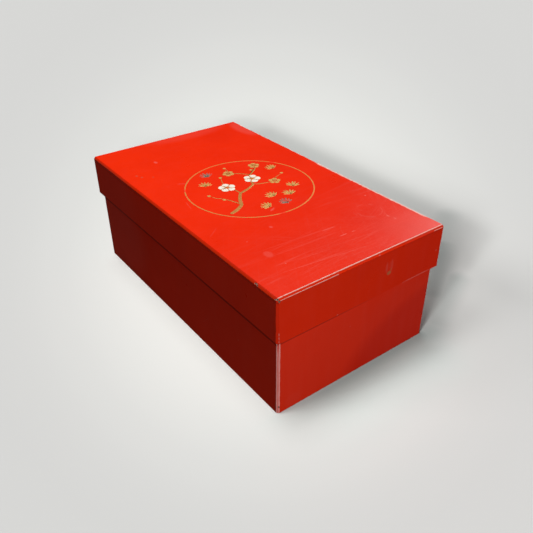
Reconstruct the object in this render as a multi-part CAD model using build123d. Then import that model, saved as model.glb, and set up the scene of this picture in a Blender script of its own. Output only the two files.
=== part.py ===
from build123d import *
import math
import os

# A lacquered document box with a slip-over lid, in millimetres.
# The origin is under the middle of the base, +X runs along the long side, +Z is up,
# and the front long side faces -Y.

# Outside of the closed box
LID_LENGTH = 300.0
LID_WIDTH = 168.0
BOX_HEIGHT = 112.0
LID_DEPTH = 39.0
EDGE_CHAMFER = 1.6
ARRIS_RADIUS = 0.3

# Boards
LID_WALL = 2.8
LID_TOP = 4.0
LID_STEP = 1.2
BASE_WALL = 4.5
BOTTOM_BOARD = 4.0
RABBET_DEPTH = 2.0
FINGER_HEIGHT = 12.0

# Fit of the lid on the base
SLIP_CLEARANCE = 0.5
LEAD_IN = 0.6
RIM_BREAK = 0.4
FOOT_BREAK = 0.8

# Hidden wooden pegs
BASE_PEG_RADIUS = 0.9
BASE_PEG_LENGTH = 7.0
LID_PEG_RADIUS = 0.6
LID_PEG_LENGTH = 9.0
PEG_COVER = 0.5
PEG_CLEARANCE = 0.05
PEG_PITCH = 46.0
PEG_END_MARGIN = 18.0

# Raised ornament on the lid
RELIEF = 0.15
RING_RADIUS = 57.5
RING_LINE = 1.4
RESERVE = 0.35
WHITE_PETAL = 3.7
GILT_PETAL = 2.6
PETAL_REACH_RATIO = 1.18
PETAL_GAP = 0.3
HEART_RADIUS = 1.2
BUD_RADIUS = 1.6
NEEDLE_LENGTH = 11.5
NEEDLE_WIDTH = 1.0
NEEDLE_TIP = 0.2
NEEDLE_BELLY_RATIO = 1.8
NEEDLE_COUNT = 9
FAN_SPREAD = 140.0
FAN_KNOT = 0.9
BRANCH_ROOT = 3.4
BRANCH_TIP = 1.2
TWIG_ROOT = 1.2
TWIG_TIP = 0.6
STROKE_BOW = 1.0
STROKE_BELLY_RATIO = 1.1

# Sizes that follow
LID_RIM_Z = BOX_HEIGHT - LID_DEPTH
TOP_BOARD_Z = BOX_HEIGHT - LID_TOP
BASE_HEIGHT = TOP_BOARD_Z - LID_STEP
OVERHANG = LID_WALL + SLIP_CLEARANCE
BASE_LENGTH = LID_LENGTH - 2 * OVERHANG
BASE_WIDTH = LID_WIDTH - 2 * OVERHANG
PETALS = 5
LEVEL_TOLERANCE = 1e-4

# Motif places inside the ring, as shares of its radius: right, up for someone at the +X end
BRANCH_POINTS = [(-0.70, -0.56), (-0.44, -0.42), (-0.24, -0.10), (0.10, 0.04), (0.25, 0.36), (0.53, 0.58)]
TWIGS = [
    [(-0.44, -0.42), (-0.58, -0.08), (-0.66, 0.06)],
    [(-0.24, -0.10), (-0.30, 0.20), (-0.20, 0.50)],
    [(0.10, 0.04), (0.40, -0.06), (0.66, 0.08)],
    [(0.25, 0.36), (0.06, 0.56), (0.06, 0.76)],
]
WHITE_BLOSSOMS = [(-0.30, 0.18, 20), (0.20, 0.22, 65)]
GILT_BLOSSOMS = [(0.44, -0.06, 0), (0.00, 0.60, 40), (0.52, 0.62, 10)]
BUDS = [(-0.68, 0.10), (-0.19, 0.54), (0.71, 0.11), (0.06, 0.81), (-0.56, -0.14), (0.38, 0.50)]
GOLD_FANS = [
    (0.36, -0.58, 84),
    (0.12, -0.48, 106),
    (0.56, -0.38, 58),
    (-0.14, -0.72, 116),
    (-0.54, 0.42, 66),
    (0.72, 0.34, 98),
]
WORN_FANS = [(0.14, -0.78, 88), (-0.32, 0.70, 92)]


def block(length, width, low, high):
    """Solid block centred on the box's axis, from one height to another."""
    return Pos(0, 0, low) * Box(length, width, high - low, align=(Align.CENTER, Align.CENTER, Align.MIN))


def span(x, y, z):
    """Solid between the given low and high ends along each axis."""
    size = Box(x[1] - x[0], y[1] - y[0], z[1] - z[0], align=(Align.MIN, Align.MIN, Align.MIN))
    return Pos(x[0], y[0], z[0]) * size


def edges_at(shape, height):
    """Edges that lie flat at one height."""
    low, high = height - LEVEL_TOLERANCE, height + LEVEL_TOLERANCE
    return shape.edges().filter_by(lambda e: e.bounding_box().min.Z > low and e.bounding_box().max.Z < high)


def lid_outside():
    """Outer form of the lid, its long edges chamfered and the new arrises eased."""
    form = block(LID_LENGTH, LID_WIDTH, LID_RIM_Z, BOX_HEIGHT)
    form = chamfer(form.edges().filter_by(Axis.Z) + edges_at(form, BOX_HEIGHT), EDGE_CHAMFER)
    form = chamfer(edges_at(form, LID_RIM_Z), RIM_BREAK)
    arrises = form.edges().filter_by(lambda e: e.bounding_box().max.Z > LID_RIM_Z + EDGE_CHAMFER)
    return fillet(arrises, ARRIS_RADIUS)


def base_outside():
    """Outer form of the base, with a lead-in at its mouth and an eased foot."""
    form = block(BASE_LENGTH, BASE_WIDTH, 0, BASE_HEIGHT)
    form = chamfer(form.edges().filter_by(Axis.Z), EDGE_CHAMFER)
    form = chamfer(edges_at(form, BASE_HEIGHT), LEAD_IN)
    form = chamfer(edges_at(form, 0), FOOT_BREAK)
    return fillet(form.edges().filter_by(Axis.Z), ARRIS_RADIUS)


def flared_hollow(length, width, low, high, mouth_z, flare):
    """Hollow between two levels that widens a little at its mouth, at one of the two."""
    throat_z = mouth_z + flare if mouth_z == low else mouth_z - flare
    throat = Plane.XY.offset(throat_z) * Rectangle(length, width)
    mouth = Plane.XY.offset(mouth_z) * Rectangle(length + 2 * flare, width + 2 * flare)
    return block(length, width, low, high) + loft([throat, mouth], ruled=True)


def fingers(low, high):
    """Heights of the corner fingers, an odd number of like height between two levels."""
    count = max(3, 2 * round((high - low) / FINGER_HEIGHT / 2 - 0.5) + 1)
    step = (high - low) / count
    return [(low + i * step, low + (i + 1) * step) for i in range(count)]


def corner_posts(length, width, wall, low, high):
    """The parts of the four corners that belong to the short walls."""
    posts = []
    for z in fingers(low, high)[1::2]:
        for x in (-length / 2, length / 2 - wall):
            for y in (-width / 2, width / 2 - wall):
                posts.append(span((x, x + wall), (y, y + wall), z))
    return posts


def four_walls(shell, length, width, wall, low, high):
    """Cuts a shell into front, back, left and right boards that lock at the corners."""
    posts = corner_posts(length, width, wall, low, high)
    x, y = length / 2, width / 2
    front = shell & span((-x, x), (-y, -y + wall), (low, high)) - posts
    back = shell & span((-x, x), (y - wall, y), (low, high)) - posts
    left_region = span((-x, -x + wall), (-y + wall, y - wall), (low, high))
    right_region = span((x - wall, x), (-y + wall, y - wall), (low, high))
    left = shell & (left_region + [post for post in posts if post.center().X < 0])
    right = shell & (right_region + [post for post in posts if post.center().X > 0])
    return {"front": front, "back": back, "left": left, "right": right}


def peg_places(length):
    """Evenly spaced places along a wall, clear of its corners."""
    free = length - 2 * PEG_END_MARGIN
    gaps = max(1, round(free / PEG_PITCH))
    return [-free / 2 + i * free / gaps for i in range(gaps + 1)]


def base_pegs(radius, length):
    """Pins from the walls into the edge of the bottom board, under the lacquer."""
    z = BOTTOM_BOARD / 2
    lying = Cylinder(radius, length, align=(Align.CENTER, Align.CENTER, Align.MIN))
    pegs = []
    for side in (-1, 1):
        for x in peg_places(BASE_LENGTH):
            pegs.append(Pos(x, side * (BASE_WIDTH / 2 - PEG_COVER), z) * Rot(side * 90, 0, 0) * lying)
        for y in peg_places(BASE_WIDTH):
            pegs.append(Pos(side * (BASE_LENGTH / 2 - PEG_COVER), y, z) * Rot(0, -side * 90, 0) * lying)
    return pegs


def lid_pegs(radius, length):
    """Pins from the top board down into the skirt, under the lacquer."""
    top = BOX_HEIGHT - EDGE_CHAMFER
    upright = Cylinder(radius, length, align=(Align.CENTER, Align.CENTER, Align.MAX))
    pegs = []
    for side in (-1, 1):
        for x in peg_places(LID_LENGTH):
            pegs.append(Pos(x, side * (LID_WIDTH - LID_WALL) / 2, top) * upright)
        for y in peg_places(LID_WIDTH):
            pegs.append(Pos(side * (LID_LENGTH - LID_WALL) / 2, y, top) * upright)
    return pegs


def make_lid():
    """Top board and skirt of the lid."""
    outside = lid_outside()
    inner_length = LID_LENGTH - 2 * LID_WALL
    inner_width = LID_WIDTH - 2 * LID_WALL
    hollow = flared_hollow(inner_length, inner_width, LID_RIM_Z, TOP_BOARD_Z, LID_RIM_Z, RIM_BREAK)
    holes = lid_pegs(LID_PEG_RADIUS + PEG_CLEARANCE, LID_PEG_LENGTH + PEG_CLEARANCE)
    walls = four_walls(outside - hollow, LID_LENGTH, LID_WIDTH, LID_WALL, LID_RIM_Z, TOP_BOARD_Z)
    parts = {f"lid_{name}_wall": wall - holes for name, wall in walls.items()}
    board = outside & block(LID_LENGTH, LID_WIDTH, TOP_BOARD_Z, BOX_HEIGHT)
    step = block(inner_length, inner_width, BASE_HEIGHT, TOP_BOARD_Z)
    parts["lid_top_board"] = board + step - holes
    parts["lid_top_pegs"] = Compound(children=lid_pegs(LID_PEG_RADIUS, LID_PEG_LENGTH))
    return parts


def make_base():
    """Walls and bottom board of the base."""
    inner_length = BASE_LENGTH - 2 * BASE_WALL
    inner_width = BASE_WIDTH - 2 * BASE_WALL
    hollow = flared_hollow(inner_length, inner_width, 0, BASE_HEIGHT, BASE_HEIGHT, RIM_BREAK)
    board = block(inner_length + 2 * RABBET_DEPTH, inner_width + 2 * RABBET_DEPTH, 0, BOTTOM_BOARD)
    holes = base_pegs(BASE_PEG_RADIUS + PEG_CLEARANCE, BASE_PEG_LENGTH + PEG_CLEARANCE)
    shell = base_outside() - hollow - board
    walls = four_walls(shell, BASE_LENGTH, BASE_WIDTH, BASE_WALL, 0, BASE_HEIGHT)
    parts = {f"base_{name}_wall": wall - holes for name, wall in walls.items()}
    parts["base_bottom_board"] = board - holes
    parts["base_bottom_pegs"] = Compound(children=base_pegs(BASE_PEG_RADIUS, BASE_PEG_LENGTH))
    return parts


def spot(place):
    """Point on the lid for a motif's place inside the ring."""
    return Vector(-place[1] * RING_RADIUS, place[0] * RING_RADIUS)


def stroke(start, end, bow, root, tip, belly):
    """Tapered brush stroke from one point to another, bowed to one side and fuller in the middle."""
    along = (end - start).normalized()
    across = Vector(-along.Y, along.X)
    middle = (start + end) / 2 + across * bow
    waist = across * (root + tip) / 4 * belly
    left = ThreePointArc(start + across * root / 2, middle + waist, end + across * tip / 2)
    right = ThreePointArc(end - across * tip / 2, middle - waist, start - across * root / 2)
    end_cap = Line(left @ 1, right @ 0)
    start_cap = Line(right @ 1, left @ 0)
    return make_face(Wire([left, end_cap, right, start_cap]))


def limb(places, root, tip):
    """Chain of strokes through motif places, thinner from each to the next."""
    points = [spot(place) for place in places]
    count = len(points) - 1
    widths = [root + (tip - root) * i / count for i in range(count + 1)]
    shape = Pos(points[0]) * Circle(root / 2)
    for i in range(count):
        bow = STROKE_BOW if i % 2 else -STROKE_BOW
        shape += stroke(points[i], points[i + 1], bow, widths[i], widths[i + 1], STROKE_BELLY_RATIO)
        shape += Pos(points[i + 1]) * Circle(widths[i + 1] / 2)
    return shape


def wedge(radius, spread, inset):
    """Slice of a disc about its +X side, moved out so that its straight sides keep a gap."""
    half = math.radians(spread / 2)
    reach = 2 * radius
    corners = [(0, 0), (reach * math.cos(half), -reach * math.sin(half)), (reach, 0)]
    corners.append((reach * math.cos(half), reach * math.sin(half)))
    return Circle(radius) & (Pos(inset / math.sin(half), 0) * Polygon(*corners, align=None))


def blossom(flower, petal):
    """Five round petals about a place, with a fine gap between neighbours and round the heart."""
    right, up, turn = flower
    reach = petal * PETAL_REACH_RATIO
    slice_of_five = wedge(reach + petal, 360 / PETALS, PETAL_GAP / 2)
    one = Pos(reach, 0) * Circle(petal) & slice_of_five
    one -= Circle(HEART_RADIUS + PETAL_GAP)
    place = Pos(spot((right, up))) * Rot(0, 0, turn)
    return [place * Rot(0, 0, i * 360 / PETALS) * one for i in range(PETALS)]


def cleared_for(flower, petal):
    """Ground that a blossom keeps free of what passes behind it."""
    reach = petal * PETAL_REACH_RATIO
    discs = [Circle(reach)]
    discs += [Rot(0, 0, i * 360 / PETALS) * Pos(reach, 0) * Circle(petal + RESERVE) for i in range(PETALS)]
    return [Pos(spot(flower)) * Rot(0, 0, flower[2]) * disc for disc in discs]


def needle_fan(heading):
    """Fan of pine needles that meet at a knot, which lies at the origin."""
    fan = Circle(FAN_KNOT)
    for i in range(NEEDLE_COUNT):
        share = i / (NEEDLE_COUNT - 1) - 0.5
        angle = math.radians(heading + share * FAN_SPREAD)
        tip = Vector(math.cos(angle), math.sin(angle)) * NEEDLE_LENGTH * (1 - share * share)
        fan += stroke(Vector(0, 0), tip, 0, NEEDLE_WIDTH, NEEDLE_TIP, NEEDLE_BELLY_RATIO)
    return fan


def fan_ground(heading):
    """Ground that a fan keeps free of the fans behind it."""
    pie = Rot(0, 0, heading) * wedge(NEEDLE_LENGTH + RESERVE, FAN_SPREAD, 0)
    return [pie, Circle(FAN_KNOT + RESERVE)]


def raised(shapes):
    """Gives flat shapes on the lid the height of the relief."""
    solids = []
    for shape in shapes:
        for face in shape.faces():
            solids.append(extrude(Pos(0, 0, BOX_HEIGHT) * face, amount=RELIEF, dir=(0, 0, 1)))
    return Compound(children=solids)


def make_ornament():
    """Gilt ring with a plum branch, its blossoms and fans of pine needles inside it."""
    ring = Circle(RING_RADIUS + RING_LINE / 2) - Circle(RING_RADIUS - RING_LINE / 2)
    covered = [Pos(spot(place)) * Circle(BUD_RADIUS + RESERVE) for place in BUDS]
    white_petals = []
    for flower in WHITE_BLOSSOMS:
        white_petals += blossom(flower, WHITE_PETAL)
        covered += cleared_for(flower, WHITE_PETAL)
    gilt_petals = [Pos(spot(place)) * Circle(BUD_RADIUS) for place in BUDS]
    for flower in GILT_BLOSSOMS:
        gilt_petals += blossom(flower, GILT_PETAL)
        covered += cleared_for(flower, GILT_PETAL)
    hearts = [Pos(spot(flower)) * Circle(HEART_RADIUS) for flower in WHITE_BLOSSOMS + GILT_BLOSSOMS]
    branch = limb(BRANCH_POINTS, BRANCH_ROOT, BRANCH_TIP)
    for twig in TWIGS:
        branch += limb(twig, TWIG_ROOT, TWIG_TIP)
    wide_branch = limb(BRANCH_POINTS, BRANCH_ROOT + 2 * RESERVE, BRANCH_TIP + 2 * RESERVE)
    for twig in TWIGS:
        wide_branch += limb(twig, TWIG_ROOT + 2 * RESERVE, TWIG_TIP + 2 * RESERVE)
    parts = {"gilt_ring": raised([ring]), "plum_branch": raised([branch - covered])}
    covered.append(wide_branch)
    for name, places in (("pine_fans", GOLD_FANS), ("worn_pine_fans", WORN_FANS)):
        fans = []
        for right, up, heading in places:
            foot = Pos(spot((right, up)))
            fans.append(foot * needle_fan(heading + 90) - covered)
            covered += [foot * ground for ground in fan_ground(heading + 90)]
        parts[name] = raised(fans)
    parts["white_petals"] = raised(white_petals)
    parts["gilt_petals"] = raised(gilt_petals)
    parts["blossom_hearts"] = raised(hearts)
    return parts


def main():
    os.makedirs("parts", exist_ok=True)
    for name, shape in {**make_lid(), **make_base(), **make_ornament()}.items():
        export_step(shape, f"parts/{name}.step")


main()
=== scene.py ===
"""Looks of a red lacquered document box with a slip-over lid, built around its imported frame."""

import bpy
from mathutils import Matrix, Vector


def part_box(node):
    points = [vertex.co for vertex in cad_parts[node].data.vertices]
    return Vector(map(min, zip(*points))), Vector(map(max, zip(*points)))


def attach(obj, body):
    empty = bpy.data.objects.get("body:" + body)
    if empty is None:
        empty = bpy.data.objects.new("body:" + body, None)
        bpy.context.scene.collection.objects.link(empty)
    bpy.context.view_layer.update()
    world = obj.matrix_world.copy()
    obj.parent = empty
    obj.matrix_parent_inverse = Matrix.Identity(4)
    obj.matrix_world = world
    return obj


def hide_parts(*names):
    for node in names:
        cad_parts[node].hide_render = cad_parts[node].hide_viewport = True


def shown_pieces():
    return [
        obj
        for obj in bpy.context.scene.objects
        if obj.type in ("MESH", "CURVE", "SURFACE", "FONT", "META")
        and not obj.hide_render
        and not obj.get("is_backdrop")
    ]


bl_info = {
    "name": "Red Lacquered Document Box",
    "version": (1, 0, 0),
    "blender": (4, 5, 0),
    "location": "View3D > Sidebar > Lacquer Box",
    "description": "Lacquer, gilt ornament, knocks and studio stage of a box with a slip-over lid",
    "category": "Object",
}

import math
import random

import bpy
from mathutils import Matrix, Vector

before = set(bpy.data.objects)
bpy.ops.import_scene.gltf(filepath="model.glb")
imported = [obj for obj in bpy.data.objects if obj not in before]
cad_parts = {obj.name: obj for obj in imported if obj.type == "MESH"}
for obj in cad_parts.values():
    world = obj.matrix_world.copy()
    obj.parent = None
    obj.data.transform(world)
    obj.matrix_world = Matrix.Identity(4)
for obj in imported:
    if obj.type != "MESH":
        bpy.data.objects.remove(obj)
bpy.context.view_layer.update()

MM = 0.001

# What the frame says about the box, in millimetres
LID_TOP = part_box("lid_top_board")[1] / MM
LID_INSIDE = (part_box("lid_right_wall")[0].x / MM, -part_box("lid_front_wall")[1].y / MM)
LID_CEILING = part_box("lid_right_wall")[1].z / MM
BASE_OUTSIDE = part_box("base_right_wall")[1] / MM
BASE_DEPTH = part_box("base_back_wall")[1].y / MM
BASE_INSIDE = (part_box("base_right_wall")[0].x / MM, -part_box("base_front_wall")[1].y / MM)
BASE_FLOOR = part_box("base_bottom_board")[1].z / MM
RING_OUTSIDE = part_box("gilt_ring")[1].y / MM
LID_BOARDS = ("lid_back_wall", "lid_left_wall", "lid_front_wall")
BASE_BOARDS = ("base_bottom_board", "base_right_wall", "base_left_wall")

# Knocks: the board, where the lacquer is broken out, the break's reach and its turn, in mm and degrees
KNOCKS = {
    "lid_top_board": [
        ((149.1, -83.4, 111.4), (1.9, 1.2, 0.9), 20),
        ((150.0, -82.4, 110.0), (0.7, 1.1, 1.2), 0),
        ((147.0, -84.0, 110.9), (0.9, 0.6, 0.7), 30),
        ((125.2, -83.7, 111.3), (2.2, 0.8, 0.7), 4),
        ((127.2, -83.9, 110.9), (1.2, 0.5, 0.6), 0),
        ((149.7, 79.4, 111.6), (0.7, 1.2, 0.5), 0),
        ((-149.5, -61.0, 111.6), (0.7, 1.4, 0.5), 0),
    ],
    "base_front_wall": [((146.5, -79.4, 7.2), (0.7, 0.8, 1.0), 0)],
    "base_back_wall": [((146.4, 79.8, 3.0), (0.8, 0.8, 1.0), 0)],
}
# Bruises: hollows that the lacquer still lines, laid out as the knocks are
BRUISES = {
    "lid_right_wall": [
        ((150.35, 24.2, 89.3), (0.7, 1.3, 0.9), 0),
        ((150.45, 23.2, 90.4), (0.7, 0.9, 1.3), 0),
    ],
}
# How ragged a knock is, as a share of its least reach
RAGGED_SHARE = 0.22
KNOCK_SEED = 7

# Where the arrises are rubbed, each line also a painted highlight on its arris: the line, the middle, the
# reach, how much, and half the width in mm
LID_RUBS_AND_GLINTS = [
    ("End Upper", (150, 0, 112), (8, 104, 8), 1.0, 0.42),
    ("End Upper", (-150, 30, 112), (8, 44, 8), 0.55, 0.30),
    ("End Lower", (150, -60, 110.4), (8, 34, 8), 0.90, 0.28),
    ("End Lower", (150, 76, 110.4), (8, 6, 8), 0.90, 0.28),
    ("Long Upper", (62, 84, 112), (84, 8, 8), 1.0, 1.75),
    ("Long Upper", (-70, 84, 112), (90, 8, 8), 0.60, 0.45),
    ("Upright", (149, -83, 76), (5, 5, 9), 0.36, 0.20),
    ("Upright", (149, 83, 100), (5, 5, 12), 0.60, 0.30),
    ("Upright", (-149, 83, 84), (5, 5, 16), 0.70, 0.30),
]
BASE_RUBS_AND_GLINTS = [
    ("Upright", (146, -80, 36), (5, 5, 56), 1.0, 0.50),
    ("Upright", (146, 80, 8), (5, 5, 18), 0.80, 0.30),
    ("Upright", (-146, -80, 60), (5, 5, 20), 0.55, 0.28),
]
# Uprights of the base rubbed to a pale ground that is also painted highlight: the middle and the reach in mm
BARE_GLINTING_UPRIGHTS = [((146, -80, 30), (4, 4, 44)), ((-146, 80, 12), (4, 4, 16))]

# Marks on the lid: start and end of each scratch, its width in mm and how far it shows
LID_SCRATCHES = [
    ((126.2, -63.0, 112), (137.8, 23.3, 112), 0.5, 0.34),
    ((119.2, -48.1, 112), (123.0, -11.1, 112), 0.45, 0.26),
    ((138.5, -20.0, 112), (143.0, 52.0, 112), 0.4, 0.22),
    ((99.2, -0.9, 112), (99.6, 12.5, 112), 0.6, 0.60),
    ((113.4, 4.3, 112), (113.4, 12.4, 112), 0.6, 0.75),
    ((113.4, 16.8, 112), (114.1, 20.6, 112), 0.6, 0.75),
    ((45.1, -63.8, 112), (54.5, -76.1, 112), 0.5, 0.20),
    ((45.2, -7.0, 112), (48.3, -12.6, 112), 1.9, 0.42),
    ((-43.8, -49.2, 112), (-39.0, -40.4, 112), 0.7, 0.55),
    ((-8.4, -60.9, 112), (6.2, -63.6, 112), 0.5, 0.34),
    # A pale line along the lid's lower arris on the end
    ((150, 40.0, 73.3), (150, 76.0, 73.3), 1.5, 0.95),
    ((150, 24.0, 101.0), (150, 23.0, 92.0), 0.7, 0.16),
]
LID_SMUDGES_AND_SHEENS = [
    ((101.1, -54.8, 112), (6.0, 4.2, 2), 0.20),
    # Soft patches at the back-left corner, the left end and the far right corner of the top: scuffed haze
    # and painted sheen
    ((-124.0, 80.0, 112), (30, 13, 2), 0.20),
    ((-150.0, 20.0, 112), (22, 60, 2), 0.11),
    ((140.0, 62.0, 112), (34, 34, 2), 0.06),
    ((74.7, 69.9, 112), (1.1, 1.1, 1), 0.60),
    ((112.5, 58.4, 112), (2.4, 1.0, 1), 0.50),
    ((118.8, 59.9, 112), (2.0, 0.9, 1), 0.55),
    ((77.1, -57.1, 112), (0.7, 0.7, 1), 0.60),
    ((69.8, -28.8, 112), (2.2, 1.8, 1), 0.30),
    ((118.4, -52.3, 112), (0.7, 0.7, 1), 0.60),
    ((20.6, -21.9, 112), (0.8, 0.8, 1), 0.60),
    ((-99.0, -41.6, 112), (3.4, 2.2, 1), 0.42),
    ((150, 77.9, 90.4), (1, 0.8, 0.8), 0.75),
    ((150, -28.0, 73.6), (1, 0.9, 0.8), 0.75),
    ((150, 11.0, 110.6), (1, 1.4, 0.8), 0.50),
    ((150, 25.8, 96.5), (1, 1.8, 6.5), 0.16),
    ((150, 20.6, 96.0), (1, 1.6, 6.0), 0.20),
    # Pale haze at the left of the lid's long side, also a painted reflection
    ((-128.0, -84.0, 90.0), (90, 1, 40), 0.07),
]
LID_RING_MARKS = [
    ((96.2, 52.9, 112), 11.0, 0.45, 0.34),
    ((98.0, 51.5, 112), 12.6, 0.40, 0.22),
    ((104.5, 48.0, 112), 12.0, 0.35, 0.24),
    ((118.0, 30.0, 112), 21.0, 0.35, 0.20),
    ((108.0, 22.0, 112), 27.0, 0.30, 0.14),
]
# Dabs of another colour: dirt that the lacquer keeps, or its warm lining in a bruise
LID_DABS = [
    ((-81.6, -70.4, 112), (2.2, 1.4, 1), 0.30),
    ((-75.9, -67.9, 112), (1.9, 1.4, 1), 0.30),
    ((-70.2, -59.3, 112), (1.6, 1.2, 1), 0.25),
]
LID_BRUISED = [
    ((150, 23.6, 90.2), (2, 3.0, 2.4), 0.95),
    ((150, 25.4, 92.6), (1, 1.4, 2.2), 0.30),
]
BASE_SCRATCHES = [
    ((146.7, -49.0, 61.0), (146.7, -41.0, 69.0), 1.4, 0.10),
    ((146.7, -30.0, 14.0), (146.7, -26.0, 44.0), 1.2, 0.07),
    ((146.7, -62.0, 20.0), (146.7, -60.0, 52.0), 2.0, 0.05),
    ((40.0, -80.7, 22.0), (52.0, -80.7, 34.0), 0.5, 0.20),
]
BASE_SMUDGES_AND_SHEENS = [
    ((146.7, -66.0, 8.0), (1, 12, 9), 0.07),
    # Soft pale patches over the base's end: painted reflection
    ((146.7, -36.0, 42.0), (1.5, 90, 60), 0.046),
    ((146.7, 50.0, 30.0), (1.5, 80, 60), 0.052),
    ((96.0, -80.7, 40.0), (0.8, 1, 0.8), 0.60),
    ((60.0, -80.7, 54.0), (0.7, 1, 0.7), 0.50),
    ((146.7, -10.0, 52.0), (1, 0.7, 0.7), 0.50),
    # Pale haze at the left of the base's long side, also a painted reflection
    ((-128.0, -80.7, 40.0), (80, 1, 66), 0.13),
]
# Painted shade on the base's end, darker towards its lower right: the middle, the reach and how much
BASE_END_SHADE = [((146.7, 92.0, -20.0), (6, 130, 92), 0.80)]

# Fine rubbing scratches: turn in degrees, spacing in mm, how far they show
HAIRS = [(-6, 5.5, 0.13), (3, 9.5, 0.17), (41, 10.0, 0.07), (-57, 12.0, 0.07), (-24, 13.0, 0.08)]
# Thin brown lacquer of the chamfers, also painted shade where they turn from the light: how far below a long
# edge it starts, where it rises, and how much shows
LONG_BEVEL_BELOW = 0.7
LONG_BEVEL = (0.2, 1.4)
END_BEVEL = (0.1, 0.7)
LONG_CHAMFER_SHADE = 0.47
END_CHAMFER_SHADE = 0.30
# Dark line at the rim, painted shade under the lid's overhang: where it starts and stops in height, where it
# fades along the end, how dark it is
LID_RIM_SHADE = [((74.6, 73.2), (72.0, 72.9), -79.5, -81.0, 0.50),
                ((73.8, 73.0), (72.0, 72.9), 24.0, -40.0, 0.08)]
BASE_RIM_SHADE = [((66.8, 68.7), (73.8, 72.0), -79.5, -80.6, 0.88),
                 ((68.2, 69.2), (73.8, 72.0), 34.0, -50.0, 0.50)]
# How the lacquer changes from place to place: start and end in mm, then the amounts there if not 0 and 1
UPPER_FACE = (111.0, 111.8)
RUBBED_HEIGHT = (71.0, 73.5)
HANDLED = (10.0, 120.0, 0.12, 1.0)
# Scuffed haze on the top with painted sheen, rising towards the far right corner
HAZE_AND_SHEEN = (40.0, 170.0, 0.0, 0.10)
# Darker towards the back; and painted shade that darkens the top towards its right end
DARKER_BACK = (-90.0, 90.0, 0.0, 0.34)
TOP_SHADE_RIGHT = (0.0, 80.0, 0.0, 0.24)
BARE_GLINT_BAND = (0.80, 1.15, 1.0, 0.0)
BARE_GLINT_SHARE = 0.80
DUST = (0.022, 0.0099)
# How brushed lacquer, rubbed ground with its painted highlight, and wood are drawn out along each axis
BRUSH_DRAG = (0.9, 0.9, 0.10)
BARE_GLINT_DRAG = (2.4, 2.4, 0.09)
WOOD_DRAG = (3.0, 3.0, 0.3)
# Small nicks: spacing and size in mm, and the share of places that have one
NICKS = {"spacing": 11.0, "size": 0.45, "share": 0.16}
LACQUER_GLOSS = 0.20
# How far in mm the inside's black reaches past the plane of a wall
WALL_SLACK = 0.04
# Colours that no setting holds: clay and chalk of the ground, and the pegs' wood
DARK_CLAY = (0.085, 0.055, 0.040)
PALE_CHALK = (0.62, 0.58, 0.48)
PALE_WOOD = (0.56, 0.38, 0.19)
DARK_WOOD = (0.36, 0.22, 0.10)

# Blossoms and fans: places on the lid in mm, turns and headings in degrees
WHITE_BLOSSOMS = [((-10.35, -17.25), 20), ((-12.65, 11.5), 65)]
GILT_BLOSSOMS = [((3.45, 25.3), 0), ((-34.5, 0.0), 40), ((-35.65, 29.9), 10)]
GOLD_FANS = [((33.35, 20.7), 174), ((27.6, 6.9), 196), ((21.85, 32.2), 148), ((41.4, -8.05), 206),
             ((-24.15, -31.05), 156), ((-19.55, 41.4), 188)]
WORN_FANS = [((44.85, 8.05), 178), ((-40.25, -18.4), 182)]
# Their parts: needles to a fan and their spread in degrees, stamens to a blossom, and places in mm
NEEDLES = 7
NEEDLE_SPREAD = 132
NEEDLE_WANDER = 3
NEEDLE_LENGTH = 11.3
NEEDLE_SEED = 11
FAN_STEP = 0.06
KNOT_BACK = 0.85
STAMENS = 10
STAMEN_RING = 1.05
STAMEN_LIFT = 0.09
SHORT_STAMEN = 0.8
SMALL_BLOSSOM = 0.75
# Needle, knot and stamen: sides, length, width, then each pull of the vertices between two places along the
# length, with its move and its stretch across, then the thickness and the crown's steps, in mm
PATTERNS = {
    "needle": (14, NEEDLE_LENGTH * 0.86, 1.75,
               [(NEEDLE_LENGTH * 0.85, NEEDLE_LENGTH, NEEDLE_LENGTH * 0.14, 1.0),
                (-1, NEEDLE_LENGTH * 0.2, 0.0, 0.55)],
               0.06, [(0.20, 0.04), (0.16, 0.03)]),
    "knot": (16, 1.7, 1.7, [(1.6, 1.8, 0.25, 1.0)], 0.07, [(0.25, 0.04), (0.25, 0.03)]),
    "stamen": (12, 1.9, 0.16, [(1.70, 2.0, 0.10, 3.2), (1.35, 1.79, 0.18, 3.0)], 0.045, [(0.04, 0.012)]),
}
# White petals: how many veins, where they and the gold throat fade from the heart out, in mm
VEINS = 30
VEIN_REACH = (6.4, 2.4)
THROAT = (3.4, 1.3, 0.0, 0.75)
WARM_SHELL = (0.78, 0.66, 0.52)
RED_BELOW = (0.72, 0.16, 0.09)
BRIGHT_SILVER = (0.34, 0.27, 0.21)
# Grains of the sprinkled metal, and how ragged and how soft the ring's line is, in mm
POWDER_GRAIN = 0.16
RING_RAGGED = 0.16
RING_SOFT = 0.14
# Modelling: distance that welds in mm, turns in degrees that count as flat or are smoothed over, and how
# level and how near the highest point a top face is
WELD = 0.002
FLAT_TURN = 0.2
SMOOTH_TURN = 30
WALL_SMOOTH = 25
TOP_SMOOTH = 50
LEVEL = 0.9
TOP_SLACK = 0.01

# Half the ring's width and its worn spots, in mm on the lid, and how far they reach
RING_HALF = 0.7
RING_WEAR = [((57.7, -7.0, 112), (4, 4, 2)), ((-26.4, -48.8, 112), (5, 5, 2)), ((-31, 48, 112), (4, 3, 2))]

# Lamps on the box: heading and height in degrees, distance, target, size in metres, watts
BOX_LAMPS = {
    "overhead": (148, 84, 0.95, (0, 0, 0.11), 0.55, 9.3),
    "low_side": (-13, 12, 2.00, (0, 0, 0.06), 0.75, 17.0),
    "far_sheen": (105, 30, 1.30, (0.05, 0.02, 0.11), 0.62, 5.4),
}
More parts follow.
